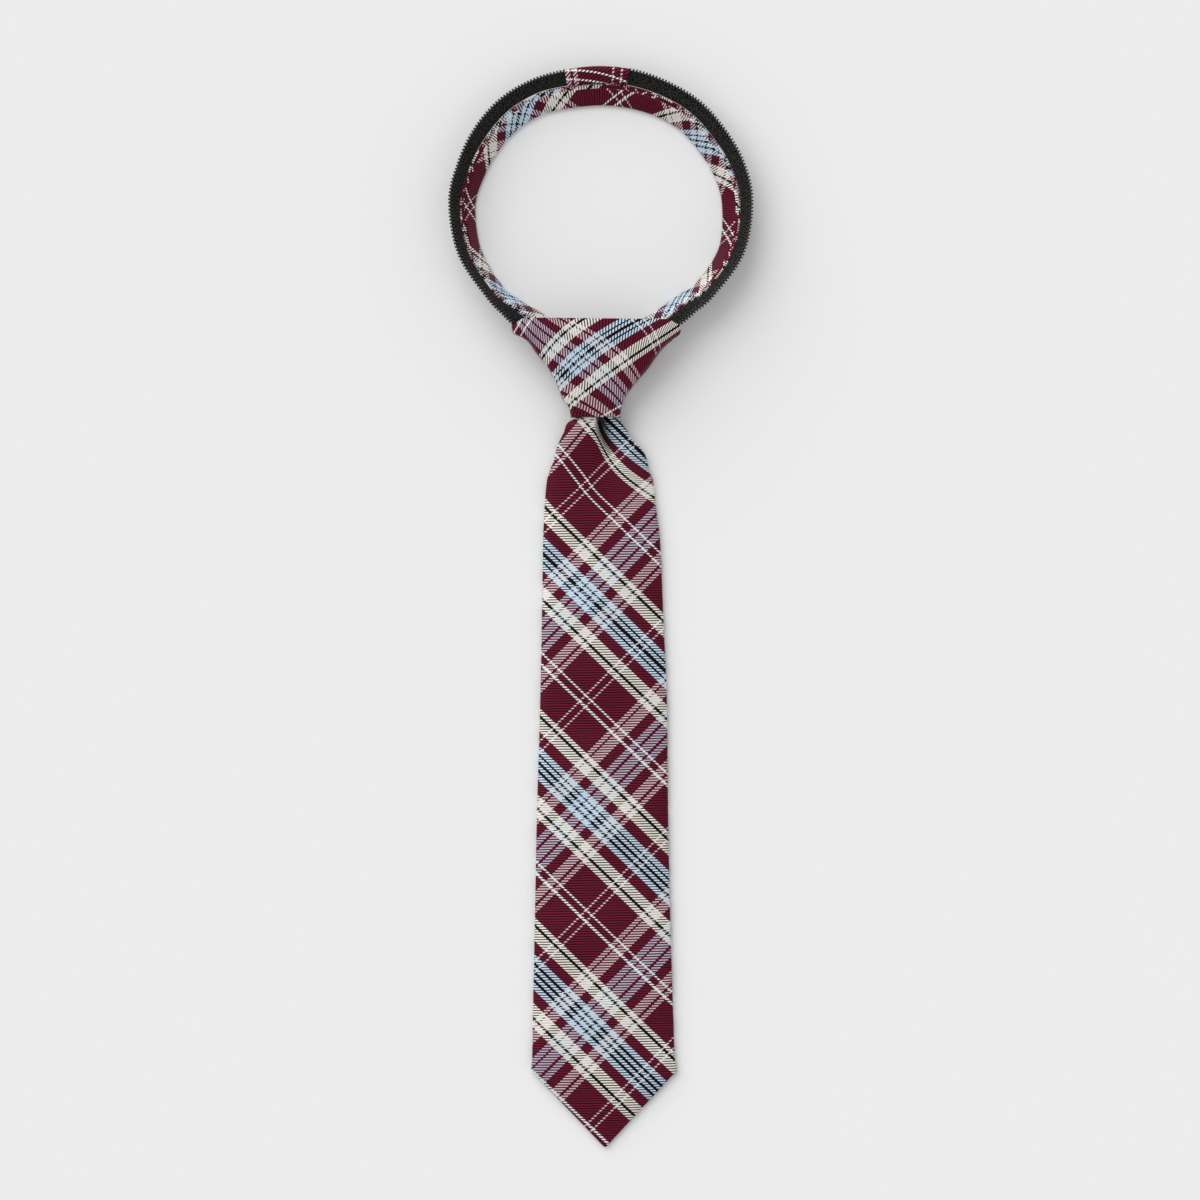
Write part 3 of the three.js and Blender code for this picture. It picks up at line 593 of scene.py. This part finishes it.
def knotPoint(down, angle, inset):
    cosine, sine = np.cos(angle), np.sin(angle)
    squareness = np.where(sine > 0, knotSection["frontAcross"], knotSection["backAcross"])
    across = np.sign(cosine) * np.abs(cosine) ** squareness
    back = np.maximum(-1, -knotSection["backFlat"] * np.abs(sine) ** knotSection["backBulge"])
    bulge = np.where(sine > 0, np.abs(sine) ** knotSection["frontBulge"], back)
    height = 0.5 + 0.5 * bulge
    rim = knotSize["rimDrop"] * (1 - smoothStep(height, *knotSection["rim"]))
    level = rim + (1 - rim) * down
    left = smoothTable(knotRows["down"], knotRows["left"], level)
    right = smoothTable(knotRows["down"], knotRows["right"], level)
    half = np.where(across < 0, left, right) * halfKnot - inset + knotSize["puff"] * (inset == 0)
    tilt = knotSection["sagMiddle"] + knotSection["sagTilt"] * across
    corner = smoothStep(np.abs(across), knotSection["cornerFrom"], 1)
    sag = knotSize["rimSag"] * tilt + knotSize["cornerSag"] * corner
    sag = sag * (1 - smoothStep(level, 0, knotSection["sagTo"]))
    depth = smoothTable(knotRows["down"], knotRows["deep"], level) * knotSize["depth"] - 2 * inset
    return np.stack([knotSize["offset"] + half * across, knotSize["height"] * (1 - level) - sag,
                     inset + depth * height], axis=-1)


def makeKnot():
    sides, rings = knotCloth["sides"], knotCloth["rings"]
    angle = np.linspace(-0.5 * math.pi, 1.5 * math.pi, sides + 1)[None, :] + np.zeros((rings, 1))
    down = np.linspace(0, 1, rings)[:, None] + 0 * angle
    outer = knotPoint(down, angle, 0)
    inner = knotPoint(down, angle, knotSize["wall"])[::-1]
    points = np.concatenate([outer, inner, outer[:1]], axis=0)
    turns = np.concatenate([angle, angle, angle[:1]], axis=0)
    # round the sides and the back the stripes run on from where the front ends
    x, y = points[..., 0], points[..., 1]
    steps = np.linalg.norm(np.diff(points, axis=1), axis=2)
    girths = np.concatenate([np.zeros((len(points), 1)), np.cumsum(steps, axis=1)], axis=1)
    rightEdge = np.argmin(np.abs(turns[0] - knotCloth["frontFrom"] * math.pi))
    leftEdge = np.argmin(np.abs(turns[0] - knotCloth["frontTo"] * math.pi))
    beyond = (np.maximum(0, girths[:, rightEdge:rightEdge + 1] - girths)
              - np.maximum(0, girths - girths[:, leftEdge:leftEdge + 1]))
    xFront = np.clip(x, x[:, leftEdge:leftEdge + 1], x[:, rightEdge:rightEdge + 1])
    terms = bendTerms(xFront, y)
    warp = terms @ bentStripes(knotStripes["warp"]) + knotCloth["wrap"] * beyond
    weft = terms @ bentStripes(knotStripes["weft"]) + knotCloth["wrap"] * beyond
    yarns = np.stack([warp, weft], axis=-1)
    return gridPiece("knot_cloth", points[:, :-1], yarns, plaidCloth, capped=False)


# Neck band
def bandTable():
    rows = {}
    turn = np.radians(loopRows["turn"])
    reach = bandSize["loopRadius"] * np.array(loopRows["reach"])
    loopY = knotSize["height"] + bandSize["loopDrop"] * bandSize["loopRadius"]
    loop = {"x": bandSize["loopOffset"] + reach * np.cos(turn), "y": loopY + reach * np.sin(turn),
            "strapLean": loopRows["strapLean"], "tapeLean": loopRows["tapeLean"],
            "show": np.ones(len(turn)), "lift": np.zeros(len(turn))}
    hidden = {side: {**hiddenRows, "x": knotSize["offset"] + side * halfKnot * np.array(hiddenRows["across"]),
                     "y": knotSize["height"] * np.array(hiddenRows["up"])} for side in (-1, 1)}
    for column in loop:
        rows[column] = np.concatenate([np.array(hidden[-1][column])[::-1], loop[column], hidden[1][column]])
    return rows


bandRows = bandTable()


# A table column at t from 0 to 1, each value from the four rows round it
def bandValue(column, t):
    values = bandRows[column]
    last = len(values) - 1
    place = t * last
    index = np.minimum(np.floor(place).astype(int), last - 1)
    p0, p1, p2, p3 = (values[np.clip(index + step, 0, last)] for step in (-1, 0, 1, 2))
    s = place - index
    return 0.5 * (2 * p1 + (p2 - p0) * s + (2 * p0 - 5 * p1 + 4 * p2 - p3) * s ** 2
                  + (3 * p1 - p0 - 3 * p2 + p3) * s ** 3)


# Where the seam is at each t, and which way strap and tape run from it
def bandFrame(t):
    before = np.maximum(t - bandSize["nudge"], 0)
    after = np.minimum(t + bandSize["nudge"], 1)
    alongX = bandValue("x", after) - bandValue("x", before)
    alongY = bandValue("y", after) - bandValue("y", before)
    size = np.hypot(alongX, alongY)
    outward = np.stack([-alongY / size, alongX / size, 0 * size], axis=-1)
    up = np.array([0, 0, 1.0])
    strapLean, tapeLean = np.radians(bandValue("strapLean", t)), np.radians(bandValue("tapeLean", t))

    def mix(a, b):
        return outward * a[:, None] + up * b[:, None]

    thickness = bandSize["strapThickness"]
    edge = thickness / 2 * np.cos(strapLean) - thickness / 3 * np.sin(strapLean)
    rest = bandSize["strapWidth"] * np.sin(strapLean) + np.maximum(edge, thickness / 6 * np.cos(strapLean))
    lift = np.maximum(0, bandValue("lift", t)) * insideKnot
    return {"seam": np.stack([bandValue("x", t), bandValue("y", t), lift + rest], axis=-1),
            "strap": mix(-np.cos(strapLean), -np.sin(strapLean)),
            "strapFace": mix(-np.sin(strapLean), np.cos(strapLean)),
            "tape": mix(np.cos(tapeLean), np.sin(tapeLean)),
            "tapeFace": mix(-np.sin(tapeLean), np.cos(tapeLean)),
            "tapeStart": bandSize["clearance"]
            + bandSize["hemThickness"] / 2 * np.abs(np.sin(strapLean - tapeLean)),
            "tapeEnd": bandSize["tapeWidth"] * np.clip(bandValue("show", t), bandSize["leastShow"], 1)}


finePlaces = np.linspace(0, 1, bandSize["finePlaces"])
fineSeam = bandFrame(finePlaces)["seam"]
fineLengths = np.concatenate([[0], np.cumsum(np.linalg.norm(np.diff(fineSeam, axis=0), axis=1))])
bandLength = fineLengths[-1]
tabCentre = bandLength / 2 + bandSize["tabOffset"]


def bandAt(lengths):
    return bandFrame(np.interp(lengths, fineLengths, finePlaces))


# Cuts the corners of a closed outline, each pass softer
def rounded(outline, passes):
    points = np.asarray(outline, float)
    for _ in range(passes):
        after = np.roll(points, -1, axis=0)
        points = np.stack([0.75 * points + 0.25 * after, 0.25 * points + 0.75 * after], axis=1).reshape(-1, 2)
    return points


# How far round the outline each of its points is, and its whole length
def girth(outline):
    steps = np.linalg.norm(np.roll(outline, -1, axis=0) - outline, axis=1)
    return np.concatenate([[0], np.cumsum(steps)])


# Where both families of stripes cross on the strap's middle: the place along it, and along the cloth.
# The hem shows another part of the cloth, as far as hemEdge of its width.
strapStripes = {"place": [42.7, 85.7, 130.1, 176.4, 217.5, 260.3, 297.7],
                "cloth": [-46.55, 0, 46.55, 93.1, 139.65, 186.2, 232.75],
                "middle": 0.55, "hemShift": -9, "hemEdge": 1.05}


def makeStrap():
    width, thick = bandSize["strapWidth"], bandSize["strapThickness"]
    hem, hemThick = bandSize["hemWidth"], bandSize["hemThickness"]
    outline = rounded([
        (0, hemThick / 2), (hem * 0.5, hemThick / 2), (hem * 0.95, hemThick * 0.4), (hem * 1.2, thick / 2),
        (width * 0.5, thick / 2), (width - thick / 3, thick / 2), (width, thick / 6), (width, -thick / 6),
        (width - thick / 3, -thick / 2), (width * 0.5, -thick / 2), (hem * 1.15, -thick / 2),
        (0, -hemThick / 2)], 2)
    lengths = np.linspace(0, bandLength, bandSize["strapRings"])
    place = bandAt(lengths)
    points = (place["seam"][:, None] + place["strap"][:, None] * outline[None, :, :1]
              + place["strapFace"][:, None] * outline[None, :, 1:])
    middle = place["seam"] + place["strap"] * width * strapStripes["middle"] + place["strapFace"] * thick / 2
    run = np.concatenate([[0], np.cumsum(np.linalg.norm(np.diff(middle, axis=0), axis=1))])
    along = np.interp(run, strapStripes["place"], strapStripes["cloth"])
    first, last = strapStripes["place"][0], strapStripes["place"][-1]
    along = along + np.minimum(0, run - first) + np.maximum(0, run - last)
    around = girth(outline)
    u = np.broadcast_to(around[None, :], (len(lengths), len(around))) - width * strapStripes["middle"]
    v = np.broadcast_to(along[:, None], u.shape)
    yarns = np.stack([v + u, v - u], axis=-1) + cloth["warpRepeat"] / 2
    hemEdge = hem * strapStripes["hemEdge"]
    hemSides = (outline[:, 0] < hemEdge) & (np.roll(outline[:, 0], -1) < hemEdge)
    shift = hemSides[:, None] * np.array([strapStripes["hemShift"], strapStripes["hemShift"]])
    return gridPiece("strap_cloth", points, yarns, plaidCloth, shift=shift)


def alongTape(name, lengths, outline, material, stripes=None):
    place = bandAt(lengths)
    sections = outline(place)
    points = (place["seam"][:, None] + place["tape"][:, None] * sections[..., :1]
              + place["tapeFace"][:, None] * sections[..., 1:])
    around = girth(sections[len(lengths) // 2])
    u = np.broadcast_to(around[None, :], (len(lengths), len(around)))
    v = np.broadcast_to(lengths[:, None], u.shape)
    yarns = np.stack([u, v], axis=-1) if stripes is None else stripes(u, v)
    return gridPiece(name, points, yarns, material)


tapeEnds = {"left": (0, tabCentre - bandSize["clearance"] / 2),
            "right": (tabCentre + bandSize["clearance"] / 2, bandLength)}


def makeTape(side):
    half = bandSize["tapeThickness"] / 2

    def outline(place):
        corners = [(0, half), (0, -half), (1, -half), (1, half)]
        sections = []
        for start, end in zip(place["tapeStart"], place["tapeEnd"]):
            reach = end + bandSize["underTeeth"] - start
            sections.append(rounded([(start + share * reach, out) for share, out in corners], 2))
        return np.array(sections)

    lengths = np.linspace(*tapeEnds[side], bandSize["tapeRings"] // 2)
    return alongTape(side + "_tape_cloth", lengths, outline, tapeCloth)


# The tab is cut on the straight grain
tabCloth = {"warpStart": 49.9, "warpStep": 1.31, "slant": 0.31, "weftStart": 34.8, "weftStep": 1.414}


def makeTab():
    inner = bandSize["tapeThickness"] / 2 + bandSize["clearance"]
    outer = inner + bandSize["tabWall"]
    end = bandSize["tapeWidth"] + bandSize["clearance"]

    def outline(place):
        sections = []
        for start in place["tapeStart"]:
            sections.append(rounded([
                (start, outer), (start, inner), (end, inner), (end, -inner), (start, -inner), (start, -outer),
                (end + bandSize["tabWall"], -outer), (end + bandSize["tabWall"], outer)], 2))
        return np.array(sections)

    def stripes(u, v):
        along = v - tabCentre
        outward = u[:, -1:] - u
        warp = tabCloth["warpStart"] - tabCloth["warpStep"] * outward - tabCloth["slant"] * along
        weft = tabCloth["weftStart"] + tabCloth["weftStep"] * along
        return np.stack([warp, weft], axis=-1)

    half = bandSize["tabWidth"] / 2
    lengths = np.linspace(tabCentre - half, tabCentre + half, bandSize["tabRings"])
    return alongTape("tab_cloth", lengths, outline, plaidCloth, stripes)


# Zip teeth, by Geometry Nodes along a path
coil = {"pitch": 1.47, "length": 1.5, "height": 1.1, "wire": 0.95, "slant": 10, "ringSides": 12,
        "wireSides": 6, "pathPoints": 600}


# Rings of wire stood along a path, one each pitch
def makeCoilTree():
    tree = bpy.data.node_groups.new("coilTeeth", "GeometryNodeTree")
    tree.interface.new_socket("Geometry", in_out="INPUT", socket_type="NodeSocketGeometry")
    for name in ("Pitch", "Tooth Length", "Tooth Height", "Wire", "Slant"):
        tree.interface.new_socket(name, in_out="INPUT", socket_type="NodeSocketFloat")
    tree.interface.new_socket("Material", in_out="INPUT", socket_type="NodeSocketMaterial")
    tree.interface.new_socket("Geometry", in_out="OUTPUT", socket_type="NodeSocketGeometry")
    given, made = addNode(tree, "NodeGroupInput"), addNode(tree, "NodeGroupOutput")

    path = addNode(tree, "GeometryNodeMeshToCurve")
    plug(tree, given.outputs["Geometry"], path.inputs[0])
    spaced = addNode(tree, "GeometryNodeResampleCurve", mode="LENGTH")
    plug(tree, path.outputs[0], spaced.inputs["Curve"])
    plug(tree, given.outputs["Pitch"], spaced.inputs["Length"])

    ring = addNode(tree, "GeometryNodeCurvePrimitiveCircle", mode="RADIUS")
    ring.inputs["Resolution"].default_value = coil["ringSides"]
    ring.inputs["Radius"].default_value = 0.5
    size = addNode(tree, "ShaderNodeCombineXYZ")
    plug(tree, given.outputs["Tooth Length"], size.inputs["X"])
    plug(tree, given.outputs["Tooth Height"], size.inputs["Y"])
    size.inputs["Z"].default_value = 1
    shaped = addNode(tree, "GeometryNodeTransform")
    plug(tree, ring.outputs["Curve"], shaped.inputs["Geometry"])
    plug(tree, size.outputs[0], shaped.inputs["Scale"])
    stood = addNode(tree, "GeometryNodeTransform")
    lean = addNode(tree, "ShaderNodeCombineXYZ")
    plug(tree, mathNode(tree, "ADD", given.outputs["Slant"], math.pi / 2), lean.inputs["X"])
    plug(tree, shaped.outputs[0], stood.inputs["Geometry"])
    plug(tree, lean.outputs[0], stood.inputs["Rotation"])
    wire = addNode(tree, "GeometryNodeCurvePrimitiveCircle", mode="RADIUS")
    wire.inputs["Resolution"].default_value = coil["wireSides"]
    plug(tree, mathNode(tree, "MULTIPLY", given.outputs["Wire"], 0.5), wire.inputs["Radius"])
    swept = addNode(tree, "GeometryNodeCurveToMesh")
    plug(tree, stood.outputs[0], swept.inputs["Curve"])
    plug(tree, wire.outputs["Curve"], swept.inputs["Profile Curve"])
    smooth = addNode(tree, "GeometryNodeSetShadeSmooth")
    plug(tree, swept.outputs[0], smooth.inputs["Geometry"])

    turn = None
    for attribute, axis, pivot in (("outward", "X", "AUTO"), ("face", "Z", "X")):
        named = addNode(tree, "GeometryNodeInputNamedAttribute", data_type="FLOAT_VECTOR")
        named.inputs["Name"].default_value = attribute
        align = addNode(tree, "FunctionNodeAlignRotationToVector", axis=axis, pivot_axis=pivot)
        plug(tree, named.outputs["Attribute"], align.inputs["Vector"])
        if turn is not None:
            plug(tree, turn, align.inputs["Rotation"])
        turn = align.outputs["Rotation"]
    placed = addNode(tree, "GeometryNodeInstanceOnPoints")
    plug(tree, spaced.outputs[0], placed.inputs["Points"])
    plug(tree, smooth.outputs[0], placed.inputs["Instance"])
    plug(tree, turn, placed.inputs["Rotation"])
    real = addNode(tree, "GeometryNodeRealizeInstances")
    plug(tree, placed.outputs[0], real.inputs[0])
    finish = addNode(tree, "GeometryNodeSetMaterial")
    plug(tree, real.outputs[0], finish.inputs["Geometry"])
    plug(tree, given.outputs["Material"], finish.inputs["Material"])
    plug(tree, finish.outputs[0], made.inputs[0])
    return tree


coilTree = makeCoilTree()


# Runs a tree on a path of points with vectors at each, and keeps the result as a plain mesh
def alongPath(name, tree, path, vectors, settings):
    mesh = bpy.data.meshes.new(name + "_path")
    mesh.from_pydata(((path + tieOrigin) * mm).tolist(), [(i, i + 1) for i in range(len(path) - 1)], [])
    for key, values in vectors.items():
        attribute = mesh.attributes.new(key, "FLOAT_VECTOR", "POINT")
        attribute.data.foreach_set("vector", np.asarray(values, np.float32).ravel())
    carrier = bpy.data.objects.new(name + "_path", mesh)
    bpy.context.scene.collection.objects.link(carrier)
    modifier = carrier.modifiers.new("teeth", "NODES")
    modifier.node_group = tree
    sockets = {item.name: item.identifier for item in tree.interface.items_tree if item.in_out == "INPUT"}
    for key, value in settings.items():
        modifier[sockets[key]] = value
    evaluated = carrier.evaluated_get(bpy.context.evaluated_depsgraph_get())
    result = bpy.data.meshes.new_from_object(evaluated)
    carrier.modifiers.remove(modifier)
    bpy.data.objects.remove(carrier)
    result.name = name
    piece = bpy.data.objects.new(name, result)
    bpy.context.scene.collection.objects.link(piece)
    return piece


def makeCoil(side):
    underTab = bandSize["tabWidth"] / 2 + bandSize["clearance"]
    ends = (0, tabCentre - underTab) if side == "left" else (tabCentre + underTab, bandLength)
    lengths = np.linspace(*ends, coil["pathPoints"])
    place = bandAt(lengths)
    outerEdge = place["tapeEnd"] + bandSize["clearance"] + bandSize["coilWidth"]
    reach = outerEdge - coil["length"] / 2 - coil["wire"] / 2
    path = place["seam"] + place["tape"] * reach[:, None]
    vectors = {"outward": place["tape"], "face": place["tapeFace"]}
    return alongPath(side + "_coil_teeth", coilTree, path, vectors, {
        "Pitch": coil["pitch"] * mm, "Tooth Length": coil["length"] * mm, "Tooth Height": coil["height"] * mm,
        "Wire": coil["wire"] * mm, "Slant": math.radians(coil["slant"]), "Material": coilPlastic})


# Closed zip behind the blade
def makeTail():
    wide, length = tailSize["width"], tailSize["length"]
    narrow = tailSize["sliderWidth"] * 2 / 3
    top = bladeSize["neckInKnot"]
    settled = insideKnot * tailSize["settle"]
    ys = np.concatenate([np.linspace(top, -settled, tailSize["slopeRings"], endpoint=False),
                         np.linspace(-settled, -length, tailSize["flatRings"])])
    base = np.interp(-ys, [0, settled], [insideKnot, 0])
    width = np.interp(-ys, [-top, 0, settled], [narrow, (narrow + wide) / 2, wide])
    thick = tailSize["thickness"]
    outline = rounded([(-0.5, 0.2), (-0.12, 0.2), (-0.12, 0), (0.12, 0), (0.12, 0.2), (0.5, 0.2),
                       (0.5, 0.8), (0.12, 0.8), (0.12, 1), (-0.12, 1), (-0.12, 0.8), (-0.5, 0.8)], 1)
    points = np.stack([knotSize["offset"] + outline[None, :, 0] * width[:, None],
                       np.broadcast_to(ys[:, None], (len(ys), len(outline))),
                       base[:, None] + thick * outline[None, :, 1]], axis=-1)
    around = girth(outline * np.array([wide, thick]))
    u = np.broadcast_to(around[None, :], (len(ys), len(around)))
    v = np.broadcast_to(ys[:, None], u.shape)
    return gridPiece("tail_tape", points, np.stack([u, v], axis=-1), tapeCloth)


pieces = [
    (makeBlade(), "blade", "plaid_cloth"),
    (makeKnot(), "knot", "plaid_cloth"),
    (makeStrap(), "neck_strap", "plaid_cloth"),
    (makeTab(), "back_tab", "plaid_cloth"),
    (makeTape("left"), "left_tape", "zip_tape"),
    (makeTape("right"), "right_tape", "zip_tape"),
    (makeCoil("left"), "left_coil", "zip_coil"),
    (makeCoil("right"), "right_coil", "zip_coil"),
    (makeTail(), "zip_tail", "zip_tape"),
]
for piece, node, slotName in pieces:
    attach(piece, "root")
    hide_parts(node)
    print(piece.name, "made,", len(piece.data.polygons), "faces")

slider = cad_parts["zip_slider"]
slider.data.materials.clear()
slider.data.materials.append(sliderMetal)
